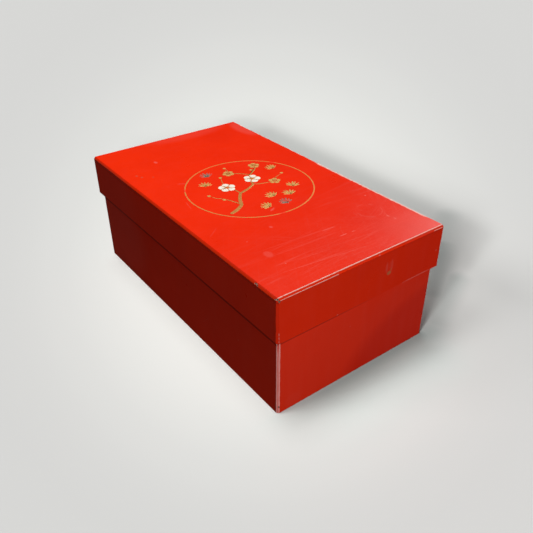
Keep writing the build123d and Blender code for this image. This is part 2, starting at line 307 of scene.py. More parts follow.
# Suns on the floor: heading, height and spread in degrees, share of the floor's light
FLOOR_SUNS = {
    "floor_low": (259.5, 35.6, 16, 0.108),
    "floor_lower": (240.3, 31.4, 16, 0.066),
    "floor_middle": (253.1, 58.9, 14, 0.097),
    "floor_upper": (237.6, 72.4, 14, 0.134),
    "floor_high": (177.3, 77.2, 17, 0.187),
}
# Lamps on the floor from beside the camera: place and radius in metres, share of the floor's light
FLOOR_LAMPS = {
    "floor_near": ((0.3117, -0.3804, 0.3577), 0.024, 0.196),
    "floor_beside": ((0.3529, -0.3653, 0.3209), 0.036, 0.180),
}

# Shade and red glow beside the right end: where each sets in across the box and along it, its reach, in mm
FOOT_SHADE = ((140.0, 150.0), [(-92.0, -58.0), (84.0, -20.0, 0.10, 1.0)], 27.0)
CORNER_SHADE = ((140.0, 147.0), [(-64.0, -28.0), (116.0, 90.0), (-20.0, 76.0, 0.14, 0.42)], 13.0)
END_GLOW = ((140.0, 150.0), [(-110.0, -20.0), (112.0, 55.0, 0.10, 1.0)], 80.0)
# Deeper shade behind the far corner: start and end of its middle line, its reach in mm and its depth
FAR_SHADES = [((144, 92, 0), (112, 138, 0), 27, 0.34), ((112, 138, 0), (56, 216, 0), 27, 0.46),
              ((142, 104, 0), (110, 176, 0), 21, 0.37), ((56, 216, 0), (16, 276, 0), 30, 0.27),
              ((16, 262, 0), (-400, 262, 0), 48, 0.14)]
# Painted tint that takes the red of the box's bounce light out of the floor beside the end
GLOW_TINT = (0.866, 1.0, 0.992)
CONTACT_COLOUR = (0.10, 0.14, 0.135)
# How the floor goes from its painted pool of light to its edge: the cone's spread and the share of the edge
# colour
POOL_FADE = [(0.17, 0.0), (0.20, 0.05), (0.235, 0.16), (0.27, 0.33), (0.30, 0.47), (0.335, 0.64),
             (0.37, 0.73), (0.40, 0.84), (0.435, 0.92), (0.50, 1.0)]
# Floor, room and camera: sizes in metres, the sensor in mm
FLOOR_GRAIN = 400.0
FLOOR_RADIUS = 12
FLOOR_SIDES = 96
ROOM_COLOUR = (0.70, 0.70, 0.69, 1.0)
ROOM_LIGHT = 0.01
SENSOR_WIDTH = 36
CLIP_START = 0.01


def colour_setting(name, description, default):
    """A colour that the user can change."""
    return bpy.props.FloatVectorProperty(
        name=name, description=description, default=default, subtype="COLOR", min=0, max=1)


def share_setting(name, description, default):
    """A share between nothing and all that the user can change."""
    return bpy.props.FloatProperty(
        name=name, description=description, default=default, subtype="FACTOR", min=0, max=1)


class LacquerSettings(bpy.types.PropertyGroup):
    """Colours and wear of the lacquered boards."""

    vermilion: colour_setting("Vermilion", "Lacquer of the outside", (0.86, 0.025, 0.0022))
    # Deep Red also carries the painted shade on the top's right end and on the base's end
    deep_red: colour_setting("Deep Red", "Darker streaks of the outside lacquer", (0.63, 0.012, 0.0018))
    # Colour of the painted shade under the lid's rim
    rim_shade_colour: colour_setting(
        "Soot", "Dirt and thin lacquer along chamfers and under the rim", (0.16, 0.006, 0.0012))
    # Brownish thin lacquer that also paints the shade on the chamfers
    chamfer_shade: colour_setting("Edge Film", "Thin brown lacquer of the chamfers", (0.17, 0.024, 0.0010))
    black: colour_setting("Inside Black", "Lacquer of the inside", (0.026, 0.021, 0.018))
    # Rubbed Line and Raw Upright paint highlights on the arrises as well as their wear
    rubbed: colour_setting("Rubbed Line", "Pale line of a rubbed arris", (0.74, 0.44, 0.38))
    raw_and_glint: colour_setting("Raw Upright", "Pink ground of the base's rubbed uprights", (1.0, 0.41, 0.37))
    rose: colour_setting("Rose", "Lacquer that is scuffed but not bare", (0.80, 0.17, 0.14))
    ground: colour_setting("Ground", "Grey clay ground below the lacquer", (0.30, 0.15, 0.095))
    lining: colour_setting("Bruise Lining", "Tan lining of a bruise", (0.56, 0.125, 0.048))
    chamfer: bpy.props.FloatProperty(
        name="Chamfer", description="Width of the chamfer on the long edges", unit="LENGTH",
        min=0.0002, max=0.005, default=0.0016)
    roughness: share_setting("Roughness", "Roughness of sound lacquer", 0.27)
    wear: share_setting("Wear", "How much of the rubbing shows", 1.0)


class OrnamentSettings(bpy.types.PropertyGroup):
    """Colours and relief of the gilt ring and the plum branch."""

    gold: colour_setting("Gold Powder", "Sprinkled gold", (0.66, 0.29, 0.058))
    pale_gold: colour_setting("Pale Gold", "Lighter grains of the gold", (0.80, 0.47, 0.15))
    old_gold: colour_setting("Old Gold", "Darker gold of branch and hearts", (0.43, 0.16, 0.040))
    silver: colour_setting("Worn Silver", "Tarnished silver powder", (0.20, 0.125, 0.085))
    white: colour_setting("Shell White", "White pigment of the petals", (0.86, 0.82, 0.74))
    outline: bpy.props.FloatProperty(
        name="Outline", description="Width of the gold line round a petal", unit="LENGTH",
        min=0, max=0.001, default=0.00030)
    ring_line: bpy.props.FloatProperty(
        name="Ring Line", description="Half width of the gold that is left on the ring", unit="LENGTH",
        min=0, max=0.001, default=0.00048)


class StageSettings(bpy.types.PropertyGroup):
    """Floor, lamps and camera."""

    # Floor is the colour inside the painted pool of light, Floor Edge the colour outside it
    floor: colour_setting("Floor", "Colour of the floor in its pale pool", (0.545, 0.551, 0.528))
    floor_edge: colour_setting("Floor Edge", "Colour of the floor outside the pool", (0.434, 0.434, 0.425))
    pool_apex: bpy.props.FloatVectorProperty(
        name="Pool Apex", description="Tip of the cone that draws the pale pool on the floor", unit="LENGTH",
        size=3, default=(0.3988, -0.2770, 0.3447))
    pool_axis: bpy.props.FloatVectorProperty(
        name="Pool Axis", description="Way that the cone opens", size=3, default=(-0.6723, 0.4977, -0.5480))
    floor_light: bpy.props.FloatProperty(
        name="Floor Light", description="Light on the middle of the floor in watts per square metre",
        min=0, default=4.91)
    contact: share_setting("Contact", "Depth of the floor's shade at the foot of the box", 0.35)
    bounce: share_setting("Bounce", "Share of the floor's colour that lights the box", 0.17)
    mirrored: share_setting("Mirrored", "Share of the floor seen in reflections", 0.008)
    focal_length: bpy.props.FloatProperty(
        name="Focal Length", description="Focal length on a 36 mm sensor", min=1, default=40.354)
    azimuth: bpy.props.FloatProperty(
        name="Azimuth", description="Camera's turn round the box", subtype="ANGLE",
        default=math.radians(53.486))
    elevation: bpy.props.FloatProperty(
        name="Elevation", description="Camera's height above the horizon", subtype="ANGLE",
        default=math.radians(33.228))
    roll: bpy.props.FloatProperty(
        name="Roll", description="Camera's turn about its own axis", subtype="ANGLE",
        default=math.radians(-0.292))
    distance: bpy.props.FloatProperty(
        name="Distance", description="From the camera to its target", unit="LENGTH", default=0.56419)
    aside: bpy.props.FloatProperty(
        name="Aside", description="Target right of the box's middle", unit="LENGTH", default=0.01481)
    above: bpy.props.FloatProperty(
        name="Above", description="Target above the box's middle", unit="LENGTH", default=-0.02442)


class Wiring:
    """Places shader nodes in one tree and joins their sockets."""

    def __init__(self, tree):
        self.tree = tree

    def feed(self, socket, value):
        if isinstance(value, bpy.types.NodeSocket):
            self.tree.links.new(value, socket)
        else:
            socket.default_value = value

    def node(self, kind, feeds=None, **settings):
        made = self.tree.nodes.new(kind)
        for key, value in settings.items():
            setattr(made, key, value)
        for key, value in (feeds or {}).items():
            self.feed(made.inputs[key], value)
        return made

    def end_in(self, kind, shader):
        """Sends a shader node to the tree's output."""
        self.feed(self.node(kind).inputs["Surface"], shader.outputs[0])

    def math(self, operation, *values):
        """One operation on a single value, or on several from the first one on."""
        found = values[0]
        if len(values) == 1:
            return self.node("ShaderNodeMath", {0: found}, operation=operation).outputs[0]
        for value in values[1:]:
            found = self.node("ShaderNodeMath", {0: found, 1: value}, operation=operation).outputs[0]
        return found

    def times(self, *values):
        return self.math("MULTIPLY", *values)

    def plus(self, *values):
        return self.math("ADD", *values)

    def minus(self, value, taken):
        return self.math("SUBTRACT", value, taken)

    def over(self, value, divisor):
        return self.math("DIVIDE", value, divisor)

    def least(self, *values):
        return self.math("MINIMUM", *values)

    def most(self, *values):
        """The highest of several values, or nothing where there are none above it."""
        return self.math("MAXIMUM", 0.0, *values) if values else 0.0

    def unsigned(self, value):
        return self.math("ABSOLUTE", value)

    def vector(self, operation, *values):
        made = self.node("ShaderNodeVectorMath", dict(enumerate(values)), operation=operation)
        scalar = operation in ("LENGTH", "DISTANCE", "DOT_PRODUCT")
        return made.outputs["Value" if scalar else "Vector"]

    def scaled(self, vector, factor):
        made = self.node("ShaderNodeVectorMath", {0: vector, "Scale": factor}, operation="SCALE")
        return made.outputs["Vector"]

    def xyz(self, vector):
        parts = self.node("ShaderNodeSeparateXYZ", {0: vector}).outputs
        return parts["X"], parts["Y"], parts["Z"]

    def joined(self, *values):
        return self.node("ShaderNodeCombineXYZ", dict(enumerate(values))).outputs[0]

    def reach(self, *values):
        """Length of the vector that the values make."""
        return self.vector("LENGTH", self.joined(*values))

    def from_line(self, position, start, end):
        """Distance of a place from a line, and how far along the line it lies, as a share."""
        along = self.vector("SUBTRACT", end, start)
        away = self.vector("SUBTRACT", position, start)
        share = self.over(self.vector("DOT_PRODUCT", away, along), self.vector("DOT_PRODUCT", along, along))
        share = self.least(self.most(share), 1.0)
        return self.vector("DISTANCE", away, self.scaled(along, share)), share

    def rise(self, value, start, end, low=0.0, high=1.0):
        """Smooth way from low to high as a value goes from start to end."""
        feeds = {"Value": value, "From Min": start, "From Max": end, "To Min": low, "To Max": high}
        return self.node("ShaderNodeMapRange", feeds, interpolation_type="SMOOTHSTEP").outputs["Result"]

    def ramp(self, value, stops):
        """Straight steps from stop to stop, each a place and its height."""
        made = self.node("ShaderNodeValToRGB", {0: value})
        elements = made.color_ramp.elements
        while len(elements) < len(stops):
            elements.new(0.5)
        for element, (place, height) in zip(elements, stops):
            element.position = place
            element.color = (height, height, height, 1.0)
        return made.outputs["Color"]

    def noise(self, vector, scale, detail=3.0, roughness=0.55):
        feeds = {"Vector": vector, "Scale": scale, "Detail": detail, "Roughness": roughness}
        return self.node("ShaderNodeTexNoise", feeds).outputs["Fac"]

    def cells(self, vector, spacing):
        """Scattered cells: distance from each one's middle, and two draws that stay the same over it."""
        feeds = {"Vector": vector, "Scale": self.over(1.0, spacing)}
        found = self.node("ShaderNodeTexVoronoi", feeds).outputs
        return (found["Distance"], *self.xyz(found["Color"])[:2])

    def colour(self, share, first, second, blend="MIX"):
        """From one colour to another; each is a socket or a plain colour."""
        made = self.node("ShaderNodeMix", {0: share}, data_type="RGBA", blend_type=blend)
        for index, value in ((6, first), (7, second)):
            plain = not isinstance(value, bpy.types.NodeSocket)
            self.feed(made.inputs[index], (*value[:3], 1.0) if plain else value)
        return made.outputs[2]

    def group(self, name, **feeds):
        made = self.node("ShaderNodeGroup", node_tree=bpy.data.node_groups[name])
        for key, value in feeds.items():
            self.feed(made.inputs[key.replace("_", " ").title()], value)
        return made.outputs


class Finish(Wiring):
    """A material's wiring, with its Principled shader and the place on the object in metres and in mm."""

    def __init__(self, name):
        self.material = bpy.data.materials.new(name)
        self.material.use_nodes = True
        super().__init__(self.material.node_tree)
        self.tree.nodes.clear()
        shader = self.node("ShaderNodeBsdfPrincipled")
        self.end_in("ShaderNodeOutputMaterial", shader)
        self.shader = shader.inputs
        self.place = self.node("ShaderNodeTexCoord").outputs["Object"]
        self.position = self.scaled(self.place, 1 / MM)

    def show(self, colour, roughness):
        self.feed(self.shader["Base Color"], colour)
        self.feed(self.shader["Roughness"], roughness)

    def bump(self, height, strength, depth):
        """Lets a height show as relief; its depth is in mm."""
        made = self.node("ShaderNodeBump", {"Height": height, "Strength": strength, "Distance": depth * MM})
        self.feed(self.shader["Normal"], made.outputs["Normal"])


def make_group(name, wired, vectors, floats):
    """A node group around what a function wires from its sockets to its named results."""
    tree = bpy.data.node_groups.new(name, "ShaderNodeTree")
    for labels, kind in ((vectors, "Vector"), (floats, "Float")):
        for label in labels:
            tree.interface.new_socket(name=label, in_out="INPUT", socket_type="NodeSocket" + kind)
    wire = Wiring(tree)
    results = wired(wire, *wire.node("NodeGroupInput").outputs[:len(vectors) + len(floats)])
    for label in results:
        tree.interface.new_socket(name=label, in_out="OUTPUT", socket_type="NodeSocketFloat")
    wire.node("NodeGroupOutput", results)


def edge_lines(wire, position, half_length, half_width, top, chamfer):
    """Distances in mm to the arrises of a chamfered box that is centred on its axis."""
    x, y, z = wire.xyz(position)

    def past(value, edge):
        """How far a place lies past the start of the chamfer."""
        return wire.minus(value, wire.minus(edge, chamfer))

    def short_of(value, share=1.0):
        return wire.minus(value, wire.times(chamfer, share))

    end = past(wire.unsigned(x), half_length)
    side = past(wire.unsigned(y), half_width)
    up = past(z, top)
    return {
        "End Upper": wire.reach(end, short_of(up)),
        "End Lower": wire.reach(short_of(end), up),
        "Long Upper": wire.reach(side, short_of(up)),
        "Upright": wire.least(wire.reach(end, short_of(side)), wire.reach(short_of(end), side)),
        "Upright Middle": wire.reach(short_of(end, 0.5), short_of(side, 0.5)),
        "Bevel": wire.rise(wire.least(side, wire.plus(up, LONG_BEVEL_BELOW)), *LONG_BEVEL),
        "End Bevel": wire.rise(wire.least(end, up), *END_BEVEL),
    }


def worn_glinting_line(wire, position, distance, width, strength):
    """A rubbed line of uneven width that also paints a highlight, broken where its strength is low."""
    fine = wire.noise(position, 0.45, 4.0, 0.65)
    coarse = wire.noise(position, 0.06, 2.0)
    spread = wire.times(width, wire.rise(fine, 0.3, 0.7, 0.75, 1.5))
    line = wire.rise(distance, wire.times(spread, 0.45), spread, 1.0, 0.0)
    mixed = wire.rise(wire.plus(wire.times(coarse, 0.6), wire.times(fine, 0.4)), 0.33, 0.67)
    limit = wire.minus(1.0, strength)
    present = wire.rise(mixed, wire.minus(limit, 0.12), wire.plus(limit, 0.12))
    return {"Mask": wire.times(line, present, wire.rise(strength, 0.0, 0.1))}


def soft_patch(wire, position, centre, reach, fade):
    """A patch that fades towards its rim."""
    away = wire.vector("DIVIDE", wire.vector("SUBTRACT", position, centre), reach)
    return {"Mask": wire.rise(wire.vector("LENGTH", away), wire.minus(1.0, fade), 1.0, 1.0, 0.0)}


def scratch(wire, position, start, end, width):
    """One scratch from a start to an end, skipping a little on its way."""
    distance, share = wire.from_line(position, start, end)
    skip = wire.noise(position, 0.8, 3.0, 0.7)
    taper = wire.rise(wire.unsigned(wire.minus(share, 0.5)), 0.25, 0.52, 1.0, 0.25)
    width = wire.times(width, taper, wire.rise(skip, 0.3, 0.65, 0.35, 1.2))
    return {"Mask": wire.rise(distance, 0.0, width, 1.0, 0.0)}


def ring_mark(wire, position, centre, radius, width):
    """The faint ring that a wet cup leaves."""
    wander = wire.times(wire.minus(wire.noise(position, 0.12, 2.0), 0.5), 3.0)
    off = wire.unsigned(wire.minus(wire.vector("DISTANCE", position, centre), wire.plus(radius, wander)))
    broken = wire.rise(wire.noise(position, 0.2, 3.0), 0.45, 0.6)
    return {"Mask": wire.times(wire.rise(off, 0.0, width, 1.0, 0.0), broken)}


def hair_lines(wire, position, turn, spacing):
    """Fine rubbing scratches that run one way, scattered in drifts."""
    turned = wire.node("ShaderNodeVectorRotate", {"Vector": position, "Angle": turn},
                       rotation_type="Z_AXIS").outputs[0]
    stretched = wire.vector("MULTIPLY", turned, (1.0, 0.014, 1.0))
    packed = wire.vector("DIVIDE", stretched, wire.joined(spacing, spacing, spacing))
    lines = wire.noise(packed, 1.0, 2.0, 0.5)
    line = wire.rise(wire.unsigned(wire.minus(lines, 0.5)), 0.0, 0.012, 1.0, 0.0)
    drift = wire.rise(wire.noise(position, 0.03, 2.0), 0.36, 0.60, 0.35, 1.0)
    return {"Mask": wire.times(line, drift)}


def lacquer_film(wire, position, drag):
    """Tone, roughness and height of hand-brushed lacquer, with brush drags along one axis."""
    streak = wire.noise(wire.vector("MULTIPLY", position, drag), 0.16, 4.0, 0.6)
    peel = wire.noise(position, 0.35, 2.0, 0.5)
    return {
        "Tone": wire.rise(wire.noise(position, 0.018, 3.0, 0.6), 0.35, 0.65),
        "Streak": wire.rise(streak, 0.42, 0.68),
        "Gloss": wire.rise(wire.noise(position, 0.05, 3.0, 0.5), 0.2, 0.8),
        "Height": wire.plus(wire.times(peel, 0.35), wire.times(streak, 0.65)),
    }


def specks(wire, position, spacing, size, share):
    """Small nicks and dust nibs, most places left clean."""
    distance, kept, grown = wire.cells(position, spacing)
    size = wire.times(wire.over(size, spacing), wire.plus(grown, 0.4))
    dot = wire.rise(distance, wire.times(size, 0.5), size, 1.0, 0.0)
    return {"Mask": wire.times(dot, wire.math("LESS_THAN", kept, share))}


def metal_powder(wire, position, grain, thin):
    """Sprinkled metal: its grains, the places rubbed thin, and its height."""
    distance, grains, held = wire.cells(position, grain)
    clouds = wire.noise(position, 0.14, 4.0, 0.65)
    worn = wire.rise(clouds, wire.minus(0.78, thin), wire.minus(0.92, thin))
    return {
        "Grains": grains,
        "Bare": wire.times(worn, wire.rise(held, 0.2, 0.8, 0.4, 1.0)),
        "Height": wire.minus(1.0, distance),
    }


def make_groups():
    """All node groups that more than one finish uses, with their vector and their plain inputs."""
    for wired, vectors, floats in (
            (edge_lines, ["Position"], ["Half Length", "Half Width", "Top", "Chamfer"]),
            (worn_glinting_line, ["Position"], ["Distance", "Width", "Strength"]),
            (soft_patch, ["Position", "Centre", "Reach"], ["Fade"]),
            (scratch, ["Position", "Start", "End"], ["Width"]),
            (ring_mark, ["Position", "Centre"], ["Radius", "Width"]),
            (hair_lines, ["Position"], ["Turn", "Spacing"]),
            (lacquer_film, ["Position", "Drag"], []),
            (specks, ["Position"], ["Spacing", "Size", "Share"]),
            (metal_powder, ["Position"], ["Grain", "Thin"])):
        make_group(wired.__name__, wired, vectors, floats)


def marked(wire, kind, keys, entries):
    """The highest of several marks of one kind, each with its own measures and, last, its strength."""
    masks = []
    for *measures, strength in entries:
        mask = wire.group(kind, position=wire.position, **dict(zip(keys, measures)))["Mask"]
        masks.append(wire.times(mask, strength))
    return wire.most(*masks)


def patches(wire, places, fade=0.5):
    """The highest of several soft patches, each at its own strength."""
    entries = [(centre, reach, fade, strength) for centre, reach, strength in places]
    return marked(wire, "soft_patch", ("centre", "reach", "fade"), entries)


def inside_mask(wire, inside, level, upward):
    """Where a board faces the inside of the box: past the inner walls and clear of floor or ceiling."""
    x, y, z = wire.xyz(wire.position)
    room_x = wire.minus(inside[0], wire.unsigned(x))
    room_y = wire.minus(inside[1], wire.unsigned(y))
    room_z = wire.minus(z, level) if upward else wire.minus(level, z)
    return wire.math("GREATER_THAN", wire.least(room_x, room_y, room_z), -WALL_SLACK)


def make_lacquer(name, shell, marks):
    """Vermilion lacquer outside, black inside, rubbed at the arrises and marked by use, with painted
    highlights on the arrises, painted sheen on the top and painted shade on the chamfers and under the rim.
    """
    look = bpy.context.scene.lacquer
    wire = Finish(name)
    position = wire.position
    x, y, z = wire.xyz(position)
    film = wire.group("lacquer_film", position=position, drag=BRUSH_DRAG)
    lines = wire.group("edge_lines", position=position, half_length=shell["half_length"],
                       half_width=shell["half_width"], top=shell["top"], chamfer=look.chamfer / MM)
    # Rubbed arris lines: wear and painted highlight
    rubbed = wire.most(*[
        wire.group("worn_glinting_line", position=position, distance=lines[line], width=width,
                   strength=patches(wire, [(centre, reach, share * look.wear)], 0.3))["Mask"]
        for line, centre, reach, share, width in marks["rubs_and_glints"]])
    # Bare uprights: rubbed ground with a painted highlight
    drawn = wire.noise(wire.vector("MULTIPLY", position, BARE_GLINT_DRAG), 1.0, 4.0, 0.6)
    bare = wire.times(patches(wire, [(*place, BARE_GLINT_SHARE) for place in BARE_GLINTING_UPRIGHTS], 0.35),
                      wire.rise(lines["Upright Middle"], *BARE_GLINT_BAND),
                      wire.rise(drawn, 0.36, 0.60, 0.35, 0.95))

    upper = wire.rise(z, *UPPER_FACE)
    handled = wire.rise(wire.plus(x, wire.times(y, 0.25)), *HANDLED)
    hairs = marked(wire, "hair_lines", ("turn", "spacing"),
                   [(math.radians(turn), spacing, amount) for turn, spacing, amount in HAIRS])
    nicks = wire.group("specks", position=position, **NICKS)["Mask"]
    grain = wire.rise(wire.noise(position, 0.8, 5.0, 0.75), 0.42, 0.70)
    # Scuffed haze that also paints the sheen towards the top's right end
    haze_and_sheen = wire.rise(wire.plus(x, wire.times(y, 0.35)), *HAZE_AND_SHEEN)
    scuffed_and_sheen = wire.most(
        marked(wire, "scratch", ("start", "end", "width"), marks["scratches"]),
        marked(wire, "ring_mark", ("centre", "radius", "width"), marks.get("ring_marks", ())),
        wire.times(hairs, handled, upper),
        wire.times(nicks, wire.rise(upper, 0.0, 1.0, 0.12, 0.5)),
        patches(wire, marks["smudges_and_sheens"]))
    scuffed_and_sheen = wire.plus(scuffed_and_sheen, wire.times(haze_and_sheen, upper, wire.rise(grain, 0.0, 1.0, 0.55, 1.5)))
    # Painted shade under the lid's rim, darkest on the long front side
    rim_shade = wire.most(*[
        wire.times(wire.rise(z, *low), wire.rise(z, *high), wire.rise(y, start, end, 0.0, amount))
        for low, high, start, end, amount in marks["rim"]])
    dusty = wire.times(wire.plus(film["Streak"], grain), wire.rise(upper, 0.0, 1.0, *DUST))
    # Random deeper tone, darker towards the back, and painted shade on the top's right end and the base's
    # end
    deep_tone_and_shade = wire.plus(wire.times(film["Tone"], 0.14), wire.rise(y, *DARKER_BACK),
                     wire.times(upper, wire.rise(x, *TOP_SHADE_RIGHT)))
    deep_tone_and_shade = wire.most(deep_tone_and_shade, patches(wire, marks.get("deep_tone_and_shade", ()), 0.30))

    red = wire.colour(deep_tone_and_shade, look.vermilion, look.deep_red)
    pale = wire.colour(wire.rise(z, *RUBBED_HEIGHT), look.raw_and_glint, look.rubbed)
    for share, over in (
            (dusty, look.rose),
            # Painted shade on the chamfers, brownish like thin lacquer
            (wire.times(lines["Bevel"], LONG_CHAMFER_SHADE), look.chamfer_shade),
            (wire.times(lines["End Bevel"], END_CHAMFER_SHADE), look.chamfer_shade),
            (rim_shade, look.rim_shade_colour),
            (scuffed_and_sheen, look.rose),
            (patches(wire, marks.get("dabs", ())), look.ground),
            (patches(wire, marks.get("bruised", ())), look.lining),
            (bare, pale),
            (rubbed, pale),
            (inside_mask(wire, shell["inside"], shell["level"], shell["upward"]), look.black)):
        red = wire.colour(share, red, over)
    wire.show(red, wire.plus(look.roughness, wire.times(film["Gloss"], 0.06), wire.times(scuffed_and_sheen, 0.12),
                             wire.times(rubbed, 0.25)))
    wire.shader["Specular IOR Level"].default_value = LACQUER_GLOSS
    wire.bump(film["Height"], 0.05, 0.12)
    return wire.material


def make_bare_ground():
    """Grey clay ground and a little wood, where the lacquer is broken out."""
    wire = Finish("bare_ground")
    clods = wire.noise(wire.position, 1.6, 5.0, 0.7)
    chalk = wire.rise(wire.noise(wire.position, 0.9, 3.0), 0.55, 0.68)
    clay = wire.colour(wire.rise(clods, 0.35, 0.65), bpy.context.scene.lacquer.ground, DARK_CLAY)
    wire.show(wire.colour(chalk, clay, PALE_CHALK), wire.rise(clods, 0.3, 0.7, 0.75, 0.95))
    wire.bump(clods, 0.6, 0.2)


def make_peg_wood():
    """Split wood of the hidden pegs."""
    wire = Finish("peg_wood")
    grain = wire.noise(wire.vector("MULTIPLY", wire.position, WOOD_DRAG), 1.0, 5.0, 0.6)
    wood = wire.colour(wire.rise(grain, 0.35, 0.65), PALE_WOOD, DARK_WOOD)
    wire.show(wood, wire.rise(grain, 0.3, 0.7, 0.6, 0.8))
    wire.bump(grain, 0.3, 0.1)
    return wire.material


def make_powder(name, main, light, thin, metallic, bare=None):
    """Sprinkled metal on wet lacquer, rubbed through to red in places."""
    wire = Finish(name)
    powder = wire.group("metal_powder", position=wire.position, grain=POWDER_GRAIN, thin=thin)
    worn = wire.most(powder["Bare"], bare(wire)) if bare else powder["Bare"]
    metal = wire.colour(powder["Grains"], main, light)
    wire.show(wire.colour(worn, metal, bpy.context.scene.lacquer.vermilion),
              wire.rise(powder["Grains"], 0.0, 1.0, 0.38, 0.62))
    wire.feed(wire.shader["Metallic"], wire.times(wire.minus(1.0, worn), metallic))
    wire.bump(powder["Height"], 0.25, 0.05)
    return wire.material


def ring_bare(wire):
    """Where the ring's gold is gone: past its line on either side, and at its worn spots."""
    x, y = wire.xyz(wire.position)[:2]
    off = wire.unsigned(wire.minus(wire.reach(x, y), RING_OUTSIDE - RING_HALF))
    ragged = wire.noise(wire.position, 0.7, 4.0, 0.7)
    off = wire.plus(off, wire.rise(ragged, 0.3, 0.7, -RING_RAGGED, RING_RAGGED))
    line = bpy.context.scene.ornament.ring_line / MM
    gone = wire.rise(off, line - RING_SOFT, line + RING_SOFT)
    return wire.most(gone, patches(wire, [(*spot, 0.9) for spot in RING_WEAR]))


def make_white():
    """Shell white, warm towards the heart, with fine veins and faint rubbing."""
    look = bpy.context.scene.ornament
    wire = Finish("shell_white")
    clouds = wire.noise(wire.position, 0.5, 4.0, 0.6)
    worn = wire.rise(wire.noise(wire.position, 1.1, 4.0, 0.7), 0.62, 0.72, 0.0, 0.5)
    white = wire.colour(wire.rise(clouds, 0.4, 0.7), look.white, WARM_SHELL)
    for place, turn in WHITE_BLOSSOMS:
        from_heart = wire.vector("SUBTRACT", wire.position, (*place, LID_TOP.z))
        away = wire.vector("LENGTH", from_heart)
        part_x, part_y = wire.xyz(from_heart)[:2]
        veins = wire.math("SINE", wire.times(wire.math("ARCTAN2", part_y, part_x), VEINS))
        veins = wire.times(wire.rise(veins, 0.55, 1.0, 0.0, 0.5), wire.rise(away, *VEIN_REACH))
        white = wire.colour(wire.most(veins, wire.rise(away, *THROAT)), white, look.gold)
    wire.show(wire.colour(worn, white, RED_BELOW), wire.rise(clouds, 0.3, 0.7, 0.5, 0.7))
    wire.bump(clouds, 0.3, 0.08)
    return wire.material


def only(piece):
    """Selects one object alone and makes it the active one."""
    bpy.ops.object.select_all(action="DESELECT")
    piece.select_set(True)
    bpy.context.view_layer.objects.active = piece


def edit_all():
    """Goes into edit mode with everything selected."""
    bpy.ops.object.mode_set(mode="EDIT")
    bpy.ops.mesh.select_all(action="SELECT")


def step_in(width, rise):
    """Insets the selected faces and lifts them, in mm."""
    bpy.ops.mesh.inset(thickness=width * MM, use_even_offset=False)
    bpy.ops.transform.translate(value=(0, 0, rise * MM))


def set_in_place():
    """Applies the place, turn and size of what is selected."""
    bpy.ops.object.transform_apply(location=True, rotation=True, scale=True)


def smooth_over(piece, degrees=SMOOTH_TURN):
    """Smooths a piece over its shallow turns."""
    only(piece)
    bpy.ops.object.shade_smooth_by_angle(angle=math.radians(degrees))


def welded_copy(node, name, plain_faces=False):
    """A welded copy of a frame node's mesh, as a piece of its own, its flat faces made whole if asked."""
    piece = bpy.data.objects.new(name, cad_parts[node].data.copy())
    bpy.context.scene.collection.objects.link(piece)
    only(piece)
    edit_all()
    bpy.ops.mesh.remove_doubles(threshold=WELD * MM)
    if plain_faces:
        bpy.ops.mesh.dissolve_limited(angle_limit=math.radians(FLAT_TURN))
    bpy.ops.object.mode_set(mode="OBJECT")
    return piece


def lay_finish(piece, *materials):
    """Gives a piece its materials in order."""
    piece.data.materials.clear()
    for material in materials:
        piece.data.materials.append(material)


def break_out(piece, place, reach, turn, ground):
    """Cuts one ragged hollow where a knock broke the lacquer."""
    bpy.ops.object.select_all(action="DESELECT")
    bpy.ops.mesh.primitive_ico_sphere_add(
        subdivisions=2, radius=1, location=[v * MM for v in place], scale=[v * MM for v in reach],
        rotation=(0, 0, math.radians(turn)))
    tool = bpy.context.object
    lay_finish(tool, ground)
    set_in_place()
    edit_all()
    bpy.ops.transform.vertex_random(offset=min(reach) * MM * RAGGED_SHARE, seed=KNOCK_SEED)
    bpy.ops.object.mode_set(mode="OBJECT")
    only(piece)
    cut = piece.modifiers.new("cut", "BOOLEAN")
    cut.operation = "DIFFERENCE"
    cut.solver = "MANIFOLD"
    cut.object = tool
    bpy.ops.object.modifier_apply(modifier="cut")
    bpy.data.objects.remove(tool)


def knocked_board(node, lacquer, body, smooth=WALL_SMOOTH):
    """A board with its knocks and bruises cut in, in place of the frame's sound one."""
    ground = bpy.data.materials["bare_ground"]
    piece = welded_copy(node, node + "_knocked")
    lay_finish(piece, lacquer, ground)
    for place, reach, turn in KNOCKS.get(node, ()):
        break_out(piece, place, reach, turn, ground)
    for place, reach, turn in BRUISES.get(node, ()):
        break_out(piece, place, reach, turn, lacquer)
    smooth_over(piece, smooth)
    flat = piece.modifiers.new("flat", "WEIGHTED_NORMAL")
    flat.keep_sharp = True
    bpy.ops.object.modifier_apply(modifier="flat")
    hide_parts(node)
    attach(piece, body)


def finish_node(node, material):
    """Gives a frame node its finish on its own slots."""
    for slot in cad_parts[node].material_slots:
        slot.material = material


def select_tops(piece):
    """Selects the level faces at a piece's highest level, in edit mode."""
    bpy.ops.mesh.select_all(action="DESELECT")
    bpy.ops.object.mode_set(mode="OBJECT")
    top = max(vertex.co.z for vertex in piece.data.vertices)
    for face in piece.data.polygons:
        face.select = face.normal.z > LEVEL and face.center.z > top - TOP_SLACK * MM
    bpy.ops.object.mode_set(mode="EDIT")
    bpy.ops.mesh.select_mode(type="FACE")


def raised_work(node, name, drop, steps, materials):
    """A node's flat work, its tops let down and stepped inwards: width and rise in mm, and the finish."""
    piece = welded_copy(node, name, plain_faces=True)
    lay_finish(piece, *materials)
    bpy.ops.object.mode_set(mode="EDIT")
    select_tops(piece)
    bpy.ops.transform.translate(value=(0, 0, -drop * MM))
    for width, rise, finish in steps:
        step_in(width, rise)
        piece.active_material_index = finish
        bpy.ops.object.material_slot_assign()
    bpy.ops.object.mode_set(mode="OBJECT")
    smooth_over(piece)
    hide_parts(node)
    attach(piece, "lid")


